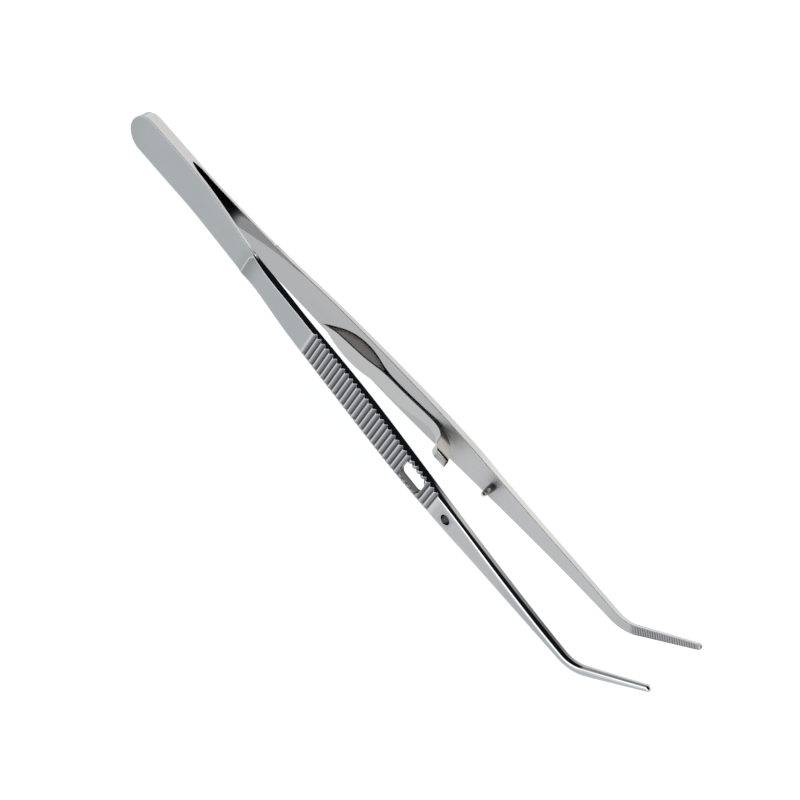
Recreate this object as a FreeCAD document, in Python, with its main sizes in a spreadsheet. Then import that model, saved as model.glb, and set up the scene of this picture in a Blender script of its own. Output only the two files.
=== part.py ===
import FreeCAD, Part
import math
import os
import Sketcher

# Locking tweezers for planted tanks: two spring-steel arms welded at the heel, a guide pin and a lock spring.
# Own axes of the sketches: X runs from the heel to the tips, Y from the slotted arm (-Y) to the pin arm (+Y),
# Z across the arms' width, with the tips bent up. Every body is then placed so that the tool lies on its
# side edges on Z = 0 with the middle of its length and of its spread at the origin.

SIZES = [
    # overall
    ("row_shift", 79.20, "heel-end datum to the middle of the length"),
    ("row_lift", 4.50, "mid-plane of the arms above the resting edge"),
    ("cut_depth", 30.00, "span of the cuts that trim a part from both sides"),
    ("trim_span", 240.00, "reach of the frame that a trim cut takes away"),
    ("trim_margin", 1.00, "clearance of a trim line beyond the part's end"),
    ("overrun", 0.20, "start of a groove above the face, as a share of its depth"),
    # heel, where the arms are welded together
    ("end_centre", 3.50, "centre of the round heel end"),
    ("heel_half", 4.50, "half width of the heel"),
    ("heel_outer", 1.31, "mid-plane to an arm's outer face at the heel"),
    ("weld_half", 0.06, "half thickness of the weld between the arms"),
    ("weld_end", 15.20, "where the weld stops and the arms part"),
    # leaf, ground thin so that the arm springs
    ("throat_x", 18.30, "end of the rounded throat behind the weld"),
    ("throat_y", 0.62, "inner face at the end of the throat"),
    ("throat_radius", 13.00, "throat rounding"),
    ("flare_x", 25.00, "end of the leaf's outward flare"),
    ("flare_outer", 1.80, "outer face there"),
    ("flare_inner", 1.05, "inner face there"),
    ("flare_half", 4.10, "half width there"),
    ("flare_radius", 98.00, "flare of the outer face"),
    ("flex_x", 27.00, "line about which the leaf bends"),
    ("flex_gap", 0.10, "slit between the leaf's two halves"),
    ("flex_outer", 2.01, "outer face at the slit"),
    ("flex_inner", 1.26, "inner face at the slit"),
    ("flex_half", 3.98, "half width at the slit"),
    ("leaf_end_x", 36.90, "end of the thin leaf"),
    ("leaf_end_outer", 3.04, "outer face there"),
    ("leaf_end_inner", 2.27, "inner face there"),
    # shoulder, where the grinding of the leaf stops
    ("shoulder_x", 38.90, "shoulder line"),
    ("shoulder_outer", 3.44, "outer face at the shoulder"),
    ("shoulder_half", 3.30, "half width at the shoulder"),
    # grip
    ("grip_x", 55.00, "start of the straight grip"),
    ("grip_outer", 4.98, "outer face at the grip's start"),
    ("grip_inner", 3.85, "inner face at the grip's start"),
    ("grip_end_x", 108.00, "end of the straight grip"),
    ("grip_end_outer", 8.53, "outer face there"),
    ("grip_end_inner", 6.85, "inner face there"),
    ("grip_bow_radius", 360.00, "bow of the faces between shoulder and grip"),
    ("wide_x", 78.00, "widest place of the grip"),
    ("wide_half", 4.13, "half width there"),
    ("rise_radius", 925.00, "edge curve from the shoulder to the widest place"),
    ("waist_x", 98.00, "end of the grip's rounded shoulders"),
    ("waist_half", 3.52, "half width there"),
    ("fall_radius", 330.00, "edge curve past the widest place"),
    ("front_radius", 3000.00, "edge curve from the grip to the elbow"),
    ("edge_bevel", 0.50, "bevel of the outer face's edges"),
    # grip ridges
    ("ridge_x", 60.94, "first groove"),
    ("ridge_pitch", 1.325, "groove to groove"),
    ("ridge_count", 32, "grooves in the grip"),
    ("ridge_depth", 0.42, "groove depth"),
    ("ridge_half", 0.50, "half width of a groove"),
    # elbow and tip
    ("elbow_x", 140.30, "start of the elbow bend"),
    ("elbow_outer", 9.79, "outer face there"),
    ("elbow_half", 1.22, "half width there"),
    ("bend_radius", 12.00, "middle of the elbow bend"),
    ("bend_angle", 45.00, "turn of the elbow"),
    ("bend_half", 1.08, "half width at the end of the bend"),
    ("tip_length", 14.10, "straight tip past the bend, to its round end"),
    ("tip_half", 0.64, "half width at the tip end"),
    ("tip_outer", 9.32, "outer face at the tip"),
    ("tip_inner", 8.24, "inner face from the elbow to the tip"),
    ("tip_end_x", 160.50, "trim line past the tip"),
    ("tooth_pitch", 0.80, "tip serration pitch"),
    ("tooth_count", 17, "tip serrations"),
    ("tooth_depth", 0.16, "serration depth"),
    ("tooth_half", 0.30, "half width of a serration"),
    # window for the catch and hole for the guide pin
    ("window_x", 95.80, "middle of the window"),
    ("window_half_length", 3.10, "half length of the window"),
    ("window_half_width", 2.30, "half width of the window"),
    ("window_corner", 1.20, "window corner radius"),
    ("hole_x", 106.80, "guide hole and pin, along the arms"),
    ("hole_radius", 1.17, "guide hole"),
    ("pin_radius", 0.82, "guide pin"),
    ("pin_stand", 3.65, "pin's height above the inner face"),
    ("pin_nose", 1.70, "length of the pin's tapered nose"),
    ("pin_tip_radius", 0.40, "flat of the pin's nose"),
    ("pin_nose_radius", 3.60, "rounding of the nose"),
    ("pin_seat", 1.00, "pin's depth in the arm"),
    # lock spring and its catch
    ("strip_thick", 0.50, "lock spring thickness"),
    ("strip_gap", 0.10, "running gap between lock spring and arm"),
    ("root_x", 56.60, "rear end of the lock spring"),
    ("root_foot_x", 58.80, "where the spring leaves the arm"),
    ("bow_x", 67.40, "top of the spring's bow"),
    ("bow_height", 1.33, "arm to the back of the bow"),
    ("bow_radius", 29.00, "curve of the bow"),
    ("bow_end_x", 75.60, "end of the bow"),
    ("strip_split", 0.10, "slit between bow and catch"),
    ("strip_low", 3.30, "spring's lower edge below the mid-plane"),
    ("root_tail_x", 57.00, "point of the root's rounded tail"),
    ("root_turn_x", 63.00, "where the upper edge becomes straight"),
    ("root_turn_high", 0.30, "upper edge there above the mid-plane"),
    ("root_turn_radius", 6.50, "curve of the root's upper edge"),
    ("taper_x", 80.50, "where the lower edge starts to taper"),
    ("taper_end_x", 88.60, "end of the taper"),
    ("catch_low", 0.95, "catch's lower edge below the mid-plane"),
    ("catch_high", 1.45, "catch's upper edge above the mid-plane"),
    # the catch's outline: places along the arm, and heights off the arm's inner face
    ("hook_x", 89.60, "where the catch turns off the arm"),
    ("hook_radius", 7.00, "curve of the turn"),
    ("hook_back_x", 94.60, "back of the turn"),
    ("hook_back_off", 1.55, "back of the turn off the arm"),
    ("nape_x", 96.10, "back of the head"),
    ("nape_off", 3.10, "back of the head off the arm"),
    ("toe_x", 97.50, "front corner of the head"),
    ("toe_off", 5.60, "front corner off the arm"),
    ("heel_x", 94.20, "rear corner of the head"),
    ("heel_off", 5.35, "rear corner off the arm"),
    ("lip_x", 93.40, "rear lip of the head"),
    ("lip_off", 4.60, "rear lip off the arm"),
    ("neck_x", 92.60, "front of the neck"),
    ("neck_off", 2.40, "front of the neck off the arm"),
    ("strip_turn_x", 89.00, "where the spring's free face turns into the neck"),
    ("neck_radius", 3.60, "curve of that turn"),
]

doc = FreeCAD.newDocument("aquascaping_tweezers")
sheet = doc.addObject("Spreadsheet::Sheet", "Sizes")
for row, (alias, value, meaning) in enumerate(SIZES, start=1):
    sheet.set("A%d" % row, alias)
    sheet.set("B%d" % row, str(value))
    sheet.set("C%d" % row, meaning)
    sheet.setAlias("B%d" % row, alias)
doc.recompute()


def expr(text):
    """Write an expression's bare aliases as cells of the sheet, such as weld_half -> Sizes.weld_half."""
    words = sorted((alias for alias, _, _ in SIZES), key=len, reverse=True)
    out = ""
    at = 0
    while at < len(text):
        match = next((w for w in words if text.startswith(w, at)), None)
        joined = at > 0 and (text[at - 1].isalnum() or text[at - 1] in "_.")
        if match and not joined:
            out += "Sizes." + match
            at += len(match)
        else:
            out += text[at]
            at += 1
    return out


def size(text):
    """The number that an expression in the sheet's aliases comes to."""
    value = sheet.evalExpression(expr(text))
    return float(getattr(value, "Value", value))


def new_body(label):
    body = doc.addObject("PartDesign::Body", label)
    body.Label = label
    body.setExpression("Placement.Base.x", expr("-row_shift"))
    body.setExpression("Placement.Base.z", expr("row_lift"))
    return body


def new_sketch(body, name, plane, origin=("0", "0", "0"), axis=FreeCAD.Vector(0, 0, 1), turn="0"):
    """A sketch on one of the body's origin planes, shifted and turned within its attachment."""
    sketch = body.newObject("Sketcher::SketchObject", name)
    support = next(f for f in body.Origin.OriginFeatures if f.Role == plane)
    sketch.AttachmentSupport = [(support, "")]
    sketch.MapMode = "FlatFace"
    sketch.AttachmentOffset = FreeCAD.Placement(FreeCAD.Vector(), FreeCAD.Rotation(axis, size(turn)))
    for direction, text in zip("xyz", origin):
        sketch.setExpression("AttachmentOffset.Base." + direction, expr(text))
    sketch.setExpression("AttachmentOffset.Rotation.Angle", expr(turn))
    return sketch


def arc_between(start, end, radius):
    """The short arc from start to end; a positive radius bulges to the right of the way there."""
    half = (end - start).multiply(0.5)
    rise = abs(radius) - math.sqrt(max(0.0, radius * radius - half.Length ** 2))
    side = FreeCAD.Vector(half.y, -half.x, 0).normalize().multiply(math.copysign(rise, radius))
    return Part.Arc(start, start + half + side, end)


def draw(sketch, outline):
    """Draw a closed outline of (x, y, radius) corners. The radius, if any, makes an arc to the next corner.
    Corners and radii are expressions, and each is bound to the sheet by a named constraint."""
    corners = [FreeCAD.Vector(size(x), size(y), 0) for x, y, _ in outline]
    count = len(outline)
    first = sketch.GeometryCount
    ends = []
    for index, (_, _, radius) in enumerate(outline):
        start = corners[index]
        end = corners[(index + 1) % count]
        if radius:
            edge = sketch.addGeometry(arc_between(start, end, size(radius)), False)
        else:
            edge = sketch.addGeometry(Part.LineSegment(start, end), False)
        forward = (sketch.getPoint(edge, 1) - start).Length < (sketch.getPoint(edge, 2) - start).Length
        ends.append((1, 2) if forward else (2, 1))
    for index, (x, y, radius) in enumerate(outline):
        edge = first + index
        following = (index + 1) % count
        sketch.addConstraint(
            Sketcher.Constraint("Coincident", edge, ends[index][1], first + following, ends[following][0])
        )
        for kind, text, value in (("DistanceX", x, corners[index].x), ("DistanceY", y, corners[index].y)):
            bind(sketch, Sketcher.Constraint(kind, -1, 1, edge, ends[index][0], value), text)
        if radius:
            bind(sketch, Sketcher.Constraint("Radius", edge, abs(size(radius))), radius.lstrip("-"))


def bind(sketch, constraint, text):
    number = sketch.addConstraint(constraint)
    name = "size%d" % number
    sketch.renameConstraint(number, name)
    sketch.setExpression("Constraints." + name, expr(text))


def pad(body, sketch, name, length):
    feature = body.newObject("PartDesign::Pad", name)
    feature.Profile = sketch
    feature.Midplane = True
    feature.setExpression("Length", expr(length))
    return feature


def pocket(body, sketch, name):
    """A cut to both sides of the sketch, which has to take something away."""
    doc.recompute()
    before = body.Shape.Volume
    feature = body.newObject("PartDesign::Pocket", name)
    feature.Profile = sketch
    feature.Midplane = True
    feature.setExpression("Length", expr("cut_depth"))
    doc.recompute()
    if body.Shape.Volume >= before:
        raise RuntimeError("%s cuts nothing" % name)
    return feature


def repeat(body, feature, sketch, name, pitch, count):
    """Repeat a cut along its sketch's own horizontal axis."""
    pattern = body.newObject("PartDesign::LinearPattern", name)
    pattern.Originals = [feature]
    pattern.Direction = (sketch, ["H_Axis"])
    pattern.setExpression("Occurrences", expr(count))
    pattern.setExpression("Length", expr("%s * (%s - 1)" % (pitch, count)))
    body.Tip = pattern
    doc.recompute()
    return pattern


def trim_to(body, name, plane, outline):
    """Keep only what lies inside the outline, drawn on one of the body's planes."""
    sketch = new_sketch(body, name + "_sketch", plane)
    draw(sketch, [
        ("-trim_span", "-trim_span", ""),
        ("trim_span", "-trim_span", ""),
        ("trim_span", "trim_span", ""),
        ("-trim_span", "trim_span", ""),
    ])
    draw(sketch, outline)
    return pocket(body, sketch, name)


def facing(side, outline):
    """An arm's outline, mirrored to the slotted arm's side where side is -1."""
    if side > 0:
        return outline
    return [(x, "-(%s)" % y, ("-" + r).replace("--", "") if r else "") for x, y, r in outline]


GRIP_SLOPE = "atan((grip_end_outer - grip_outer) / (grip_end_x - grip_x))"
INNER_SLOPE = "atan((grip_end_inner - grip_inner) / (grip_end_x - grip_x))"
GRIP_Y = "(grip_outer + (%s - grip_x) * (grip_end_outer - grip_outer) / (grip_end_x - grip_x))"
INNER_Y = "(grip_inner + (%s - grip_x) * (grip_end_inner - grip_inner) / (grip_end_x - grip_x))"


def plan_blade():
    """A blade seen along Y, from the slit in its leaf to its bent tip."""
    sine = "sin(bend_angle)"
    cosine = "cos(bend_angle)"
    below = "(bend_radius + bend_half)"
    above = "(bend_radius - bend_half)"
    inside = "-(bend_radius - elbow_half)"
    outside = "(bend_radius + elbow_half)"
    end_x = "elbow_x + bend_radius * %s + tip_length * %s" % (sine, cosine)
    end_z = "bend_radius * (1 - %s) + tip_length * %s" % (cosine, sine)
    return [
        ("flex_x + flex_gap / 2", "-flex_half", ""),
        ("shoulder_x", "-shoulder_half", "rise_radius"),
        ("wide_x", "-wide_half", "fall_radius"),
        ("waist_x", "-waist_half", "-front_radius"),
        ("elbow_x", "-elbow_half", outside),
        ("elbow_x + %s * %s" % (below, sine), "bend_radius - %s * %s" % (below, cosine), ""),
        ("%s + tip_half * %s" % (end_x, sine), "%s - tip_half * %s" % (end_z, cosine), "tip_half"),
        ("%s + tip_half * %s" % (end_x, cosine), "%s + tip_half * %s" % (end_z, sine), "tip_half"),
        ("%s - tip_half * %s" % (end_x, sine), "%s + tip_half * %s" % (end_z, cosine), ""),
        ("elbow_x + %s * %s" % (above, sine), "bend_radius - %s * %s" % (above, cosine), inside),
        ("elbow_x", "elbow_half", "-front_radius"),
        ("waist_x", "waist_half", "fall_radius"),
        ("wide_x", "wide_half", "rise_radius"),
        ("shoulder_x", "shoulder_half", ""),
        ("flex_x + flex_gap / 2", "flex_half", ""),
    ]


def edge_blade():
    """The same blade seen along Z, as it lies on the pin arm's side."""
    return [
        ("flex_x", "flex_inner", ""),
        ("leaf_end_x", "leaf_end_inner", "-grip_bow_radius"),
        ("grip_x", "grip_inner", ""),
        ("grip_end_x", "grip_end_inner", ""),
        ("elbow_x", "tip_inner", ""),
        ("tip_end_x", "tip_inner", ""),
        ("tip_end_x", "tip_outer", ""),
        ("elbow_x", "elbow_outer", ""),
        ("grip_end_x", "grip_end_outer", ""),
        ("grip_x", "grip_outer", "grip_bow_radius"),
        ("shoulder_x", "shoulder_outer", ""),
        ("leaf_end_x", "leaf_end_outer", ""),
        ("flex_x", "flex_outer", ""),
    ]


def arm_blade(label, side):
    """One arm from the slit in its leaf to its tip, with its ridged grip and its serrated tip."""
    body = new_body(label)
    plan = new_sketch(body, label + "_plan", "XZ_Plane")
    draw(plan, plan_blade())
    pad(body, plan, label + "_plate", "cut_depth")
    trim_to(body, label + "_faces", "XY_Plane", facing(side, edge_blade()))
    bevel_edges(body, label, side)
    cut_ridges(body, label, side)
    cut_teeth(body, label, side)
    return body


def bevel_edges(body, label, side):
    """Bevel the long edges of the outer face, from the shoulder to the elbow."""
    doc.recompute()
    base = body.Tip
    solid = base.Shape
    long_edges = []
    for face in solid.Faces:
        centre = face.CenterOfMass
        low_u, high_u, low_v, high_v = face.ParameterRange
        normal = face.normalAt((low_u + high_u) / 2, (low_v + high_v) / 2)
        on_grip = size("shoulder_x") < centre.x < size("elbow_x")
        if on_grip and normal.y * side > abs(normal.z):
            long_edges += [edge for edge in face.Edges if edge.BoundBox.XLength > edge.BoundBox.ZLength]
    names = [
        "Edge%d" % number
        for number, edge in enumerate(solid.Edges, start=1)
        if any(edge.isSame(other) for other in long_edges)
    ]
    bevel = body.newObject("PartDesign::Chamfer", label + "_bevel")
    bevel.Base = (base, names)
    bevel.setExpression("Size", expr("edge_bevel"))
    doc.recompute()


def cut_ridges(body, label, side):
    """V grooves across the outer face of the grip, which leave the ridges between them."""
    along = GRIP_Y % "ridge_x"
    outward = "" if side > 0 else "-"
    sketch = new_sketch(
        body, label + "_groove_sketch", "XY_Plane",
        ("ridge_x", outward + along, "0"), turn=outward + GRIP_SLOPE,
    )
    draw(sketch, facing(side, [
        ("0", "-ridge_depth", ""),
        ("ridge_half * (1 + overrun)", "ridge_depth * overrun", ""),
        ("-ridge_half * (1 + overrun)", "ridge_depth * overrun", ""),
    ]))
    groove = pocket(body, sketch, label + "_groove")
    repeat(body, groove, sketch, label + "_ridges", "ridge_pitch", "ridge_count")


def cut_teeth(body, label, side):
    """Serrations across the inner face of the bent tip."""
    inner = "tip_inner" if side > 0 else "-tip_inner"
    sketch = new_sketch(
        body, label + "_tooth_sketch", "XY_Plane",
        ("elbow_x + bend_radius * sin(bend_angle)", inner, "bend_radius * (1 - cos(bend_angle))"),
        FreeCAD.Vector(0, 1, 0), "-bend_angle",
    )
    draw(sketch, facing(side, [
        ("0", "tooth_depth", ""),
        ("-tooth_half * (1 + overrun)", "-tooth_depth * overrun", ""),
        ("tooth_half * (1 + overrun)", "-tooth_depth * overrun", ""),
    ]))
    tooth = pocket(body, sketch, label + "_tooth")
    repeat(body, tooth, sketch, label + "_teeth", "tooth_pitch", "tooth_count")


def cut_window(body):
    """The oblong window that the catch passes through, and the round hole for the guide pin."""
    sketch = new_sketch(body, "window_sketch", "XZ_Plane", ("window_x", "0", "0"))
    long = "window_half_length"
    wide = "window_half_width"
    inset_long = "(window_half_length - window_corner)"
    inset_wide = "(window_half_width - window_corner)"
    draw(sketch, [
        ("-" + inset_long, "-" + wide, ""),
        (inset_long, "-" + wide, "window_corner"),
        (long, "-" + inset_wide, ""),
        (long, inset_wide, "window_corner"),
        (inset_long, wide, ""),
        ("-" + inset_long, wide, "window_corner"),
        ("-" + long, inset_wide, ""),
        ("-" + long, "-" + inset_wide, "window_corner"),
    ])
    pocket(body, sketch, "window")
    round_hole = new_sketch(body, "guide_hole_sketch", "XZ_Plane", ("hole_x", "0", "0"))
    outline = Part.Circle(FreeCAD.Vector(), FreeCAD.Vector(0, 0, 1), size("hole_radius"))
    circle = round_hole.addGeometry(outline, False)
    round_hole.addConstraint(Sketcher.Constraint("Coincident", circle, 3, -1, 1))
    bind(round_hole, Sketcher.Constraint("Radius", circle, size("hole_radius")), "hole_radius")
    pocket(body, round_hole, "guide_hole")


def turned(body, sketch, name, kind):
    """A full turn of the sketch about its vertical axis, added or taken away."""
    feature = body.newObject(kind, name)
    feature.Profile = sketch
    feature.ReferenceAxis = (sketch, ["V_Axis"])
    feature.Angle = 360
    doc.recompute()
    return feature


def pin_sketch(body, name):
    """A sketch at the guide pin's foot, square to the pin arm's inner face."""
    return new_sketch(body, name, "XY_Plane", ("hole_x", INNER_Y % "hole_x", "0"), turn=INNER_SLOPE)


def cut_pin_seat(body):
    sketch = pin_sketch(body, "pin_seat_sketch")
    draw(sketch, [
        ("0", "-pin_seat / 2", ""),
        ("pin_radius", "-pin_seat / 2", ""),
        ("pin_radius", "pin_seat", ""),
        ("0", "pin_seat", ""),
    ])
    before = body.Shape.Volume
    turned(body, sketch, "pin_seat_bore", "PartDesign::Groove")
    if body.Shape.Volume >= before:
        raise RuntimeError("the pin seat cuts nothing")


def guide_pin():
    """The round-nosed pin that lines the arms up as they close."""
    body = new_body("guide_pin")
    sketch = pin_sketch(body, "guide_pin_sketch")
    draw(sketch, [
        ("0", "-pin_stand", ""),
        ("pin_tip_radius", "-pin_stand", "pin_nose_radius"),
        ("pin_radius", "-(pin_stand - pin_nose)", ""),
        ("pin_radius", "pin_seat", ""),
        ("0", "pin_seat", ""),
    ])
    turned(body, sketch, "guide_pin_turned", "PartDesign::Revolution")
    return body


def arm_heel(label, side):
    """One arm's rear end: the thick welded heel and the first half of its thin leaf."""
    body = new_body(label)
    plan = new_sketch(body, label + "_plan", "XZ_Plane")
    draw(plan, [
        ("end_centre", "-heel_half", ""),
        ("weld_end", "-heel_half", ""),
        ("flare_x", "-flare_half", ""),
        ("flex_x - flex_gap / 2", "-flex_half", ""),
        ("flex_x - flex_gap / 2", "flex_half", ""),
        ("flare_x", "flare_half", ""),
        ("weld_end", "heel_half", ""),
        ("end_centre", "heel_half", "heel_half"),
        ("end_centre - heel_half", "0", "heel_half"),
    ])
    pad(body, plan, label + "_plate", "cut_depth")
    trim_to(body, label + "_faces", "XY_Plane", facing(side, [
        ("-heel_half", "weld_half", ""),
        ("weld_end", "weld_half", "-throat_radius"),
        ("throat_x", "throat_y", ""),
        ("flare_x", "flare_inner", ""),
        ("flex_x", "flex_inner", ""),
        ("flex_x", "flex_outer", ""),
        ("flare_x", "flare_outer", "-flare_radius"),
        ("weld_end", "heel_outer", ""),
        ("-heel_half", "heel_outer", ""),
    ]))
    return body


def end_weld():
    """The thin seam that joins the two heels."""
    body = new_body("end_weld")
    plan = new_sketch(body, "end_weld_plan", "XZ_Plane")
    draw(plan, [
        ("end_centre", "-heel_half", ""),
        ("weld_end", "-heel_half", ""),
        ("weld_end", "heel_half", ""),
        ("end_centre", "heel_half", "heel_half"),
        ("end_centre - heel_half", "0", "heel_half"),
    ])
    pad(body, plan, "end_weld_seam", "weld_half * 2")
    return body


def strip_sketch(body, name):
    """A sketch square to the pin arm's inner face: X along the face from the grip's start, -Y off it."""
    return new_sketch(body, name, "XY_Plane", ("grip_x", "grip_inner", "0"), turn=INNER_SLOPE)


def plan_strip():
    """The lock spring seen along Y: broad at the root and the bow, tapered to the catch."""
    return [
        ("root_tail_x", "-strip_low", ""),
        ("taper_x", "-strip_low", ""),
        ("taper_end_x", "-catch_low", ""),
        ("toe_x + trim_margin", "-catch_low", ""),
        ("toe_x + trim_margin", "catch_high", ""),
        ("taper_end_x", "catch_high", ""),
        ("root_turn_x", "root_turn_high", "root_turn_radius"),
    ]


def lock_bow():
    """The lock spring's fixed end: its root on the pin arm and the bow that lets the catch give."""
    body = new_body("lock_spring_bow")
    sketch = strip_sketch(body, "lock_bow_sketch")
    draw(sketch, [
        ("root_x - grip_x", "0", ""),
        ("root_foot_x - grip_x", "-strip_thick", "bow_radius"),
        ("bow_x - grip_x", "-(bow_height + strip_thick)", "bow_radius"),
        ("bow_end_x - grip_x", "-(strip_gap + strip_thick)", ""),
        ("bow_end_x - grip_x", "-strip_gap", "-bow_radius"),
        ("bow_x - grip_x", "-bow_height", "-bow_radius"),
        ("root_foot_x - grip_x", "0", ""),
    ])
    pad(body, sketch, "lock_bow_strip", "cut_depth")
    trim_to(body, "lock_bow_plan", "XZ_Plane", plan_strip())
    return body


def lock_catch():
    """The lock spring's free end, which slides along the arm and carries the catch."""
    body = new_body("lock_catch")
    sketch = strip_sketch(body, "lock_catch_sketch")
    draw(sketch, [
        ("bow_end_x + strip_split - grip_x", "-(strip_gap + strip_thick)", ""),
        ("strip_turn_x - grip_x", "-(strip_gap + strip_thick)", "-neck_radius"),
        ("neck_x - grip_x", "-neck_off", ""),
        ("lip_x - grip_x", "-lip_off", ""),
        ("heel_x - grip_x", "-heel_off", ""),
        ("toe_x - grip_x", "-toe_off", ""),
        ("nape_x - grip_x", "-nape_off", ""),
        ("hook_back_x - grip_x", "-hook_back_off", "hook_radius"),
        ("hook_x - grip_x", "-strip_gap", ""),
        ("bow_end_x + strip_split - grip_x", "-strip_gap", ""),
    ])
    pad(body, sketch, "lock_catch_strip", "cut_depth")
    trim_to(body, "lock_catch_plan", "XZ_Plane", plan_strip())
    return body


def build():
    slot_arm = arm_blade("slot_arm", -1)
    cut_window(slot_arm)
    pin_arm = arm_blade("pin_arm", 1)
    cut_pin_seat(pin_arm)
    return [
        slot_arm,
        pin_arm,
        arm_heel("slot_arm_heel", -1),
        arm_heel("pin_arm_heel", 1),
        end_weld(),
        guide_pin(),
        lock_bow(),
        lock_catch(),
    ]


def check(bodies):
    for item in doc.Objects:
        if any(word in ("Invalid", "Error") for word in item.State):
            raise RuntimeError("%s did not build: %s" % (item.Name, item.State))
    for body in bodies:
        shape = body.Shape
        if shape.isNull() or not shape.isValid() or len(shape.Solids) != 1:
            raise RuntimeError("%s is not one valid solid" % body.Label)
        print("%-18s %9.2f mm3" % (body.Label, shape.Volume))


bodies = build()
doc.recompute()
check(bodies)
os.makedirs("parts", exist_ok=True)
for body in bodies:
    body.Shape.exportStep(os.path.join("parts", body.Label + ".step"))
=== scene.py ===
import math

import bpy
import numpy as np
from mathutils import Matrix, Vector


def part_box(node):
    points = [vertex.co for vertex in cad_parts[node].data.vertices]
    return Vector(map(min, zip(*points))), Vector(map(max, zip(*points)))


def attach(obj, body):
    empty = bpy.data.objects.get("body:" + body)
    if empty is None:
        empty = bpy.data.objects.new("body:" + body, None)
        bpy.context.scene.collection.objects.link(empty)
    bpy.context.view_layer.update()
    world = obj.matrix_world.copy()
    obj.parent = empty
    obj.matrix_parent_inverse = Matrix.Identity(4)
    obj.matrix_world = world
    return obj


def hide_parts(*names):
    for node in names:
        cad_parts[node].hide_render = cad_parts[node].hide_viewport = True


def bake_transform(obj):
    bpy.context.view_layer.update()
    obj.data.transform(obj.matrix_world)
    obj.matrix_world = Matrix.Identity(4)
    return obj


# Polished locking tweezers. Lengths here are millimetres in the tool's own axes, as in part.py: X from the
# heel to the tips, Y from the slotted arm (-Y) to the pin arm (+Y), Z across the arms' width from their
# mid-plane.

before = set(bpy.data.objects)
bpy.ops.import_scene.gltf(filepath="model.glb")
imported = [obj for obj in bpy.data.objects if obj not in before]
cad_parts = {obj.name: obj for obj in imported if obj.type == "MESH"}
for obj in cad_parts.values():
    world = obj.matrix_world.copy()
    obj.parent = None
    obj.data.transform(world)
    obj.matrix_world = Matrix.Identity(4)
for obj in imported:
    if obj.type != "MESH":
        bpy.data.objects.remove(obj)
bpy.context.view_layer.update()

MM = 0.001
HEEL_LOW, HEEL_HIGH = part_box("slot_arm_heel")

END_CENTRE = 3.5
END_RADIUS = 4.5
WELD_END = 15.2
WELD_HALF = 0.06
SHIFT_X = END_RADIUS - END_CENTRE + HEEL_LOW.x / MM
LIFT_Z = (HEEL_LOW.z + HEEL_HIGH.z) / 2 / MM

SHOULDER_X = 38.7
ELBOW_X = 142.5
BEND_RADIUS = 8.0
BEND_ANGLE = math.radians(44.4)
BEND_END = ELBOW_X + BEND_RADIUS * BEND_ANGLE
TIP_NOSE = 0.64
TIP_END = BEND_END + 15.2 + TIP_NOSE

RIDGE_X = 60.94
RIDGE_PITCH = 1.325
RIDGE_COUNT = 32
RIDGE_DEPTH = 0.50
RIDGE_HALF = 0.60
TOOTH_X = 147.9
TOOTH_PITCH = 0.6
TOOTH_COUNT = 26
TOOTH_DEPTH = 0.16
TOOTH_HALF = 0.23

PIN_X = 106.8
PIN_STAND = 3.65
CATCH_X = 93.5

# An opening: its middle along the arm, half its length, half its width and its corners' radius.
WINDOW = (95.8, 3.1, 2.3, 1.2)
GUIDE_HOLE = (PIN_X, 1.17, 1.17, 1.17)
GUIDE_HOLE_BACK = (PIN_X, 0.76, 0.76, 0.76)
LIP = 0.12
# Each one's front, its back and how much painted shade its walls get.
OPENINGS = ((WINDOW, WINDOW, 1.45), (GUIDE_HOLE, GUIDE_HOLE_BACK, 1.75))
OPENING_MARGIN = LIP + 0.55
RING_STEPS = 5
LIP_STEPS = 3


class Curve:
    """A natural cubic through a few (x, y) points, straight beyond its ends."""

    def __init__(self, *points):
        self.x, self.y = np.array(points, float).T
        gap = np.diff(self.x)
        rise = np.diff(self.y) / gap
        count = len(self.x)
        matrix = np.eye(count)
        right = np.zeros(count)
        for i in range(1, count - 1):
            matrix[i, i - 1:i + 2] = gap[i - 1], 2 * (gap[i - 1] + gap[i]), gap[i]
            right[i] = 6 * (rise[i] - rise[i - 1])
        self.bend = np.linalg.solve(matrix, right)
        self.gap = gap
        self.start = rise[0] - gap[0] * self.bend[1] / 6
        self.finish = rise[-1] + gap[-1] * self.bend[-2] / 6

    def __call__(self, x):
        x = np.asarray(x, float)
        inside = np.clip(x, self.x[0], self.x[-1])
        i = np.clip(np.searchsorted(self.x, inside) - 1, 0, len(self.gap) - 1)
        gap = self.gap[i]
        a = (self.x[i + 1] - inside) / gap
        b = 1 - a
        value = a * self.y[i] + b * self.y[i + 1]
        value += ((a ** 3 - a) * self.bend[i] + (b ** 3 - b) * self.bend[i + 1]) * gap ** 2 / 6
        before = np.minimum(x - self.x[0], 0) * self.start
        after = np.maximum(x - self.x[-1], 0) * self.finish
        return value + before + after


def smooth(low, high, x):
    """0 below low, 1 above high, and an even S between."""
    t = np.clip((np.asarray(x, float) - low) / (high - low), 0, 1)
    return t * t * (3 - 2 * t)


def bell(x, middle, width):
    """A bell curve, 1 at the middle."""
    return np.exp(-((x - middle) / width) ** 2)


# ---------------------------------------------------------------- an arm's faces and edges along its length

SLOT, PIN = -1, 1
THROAT_END = 18.3
TILT_FROM = 18.0
BEVEL_FROM = 39.5

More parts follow.
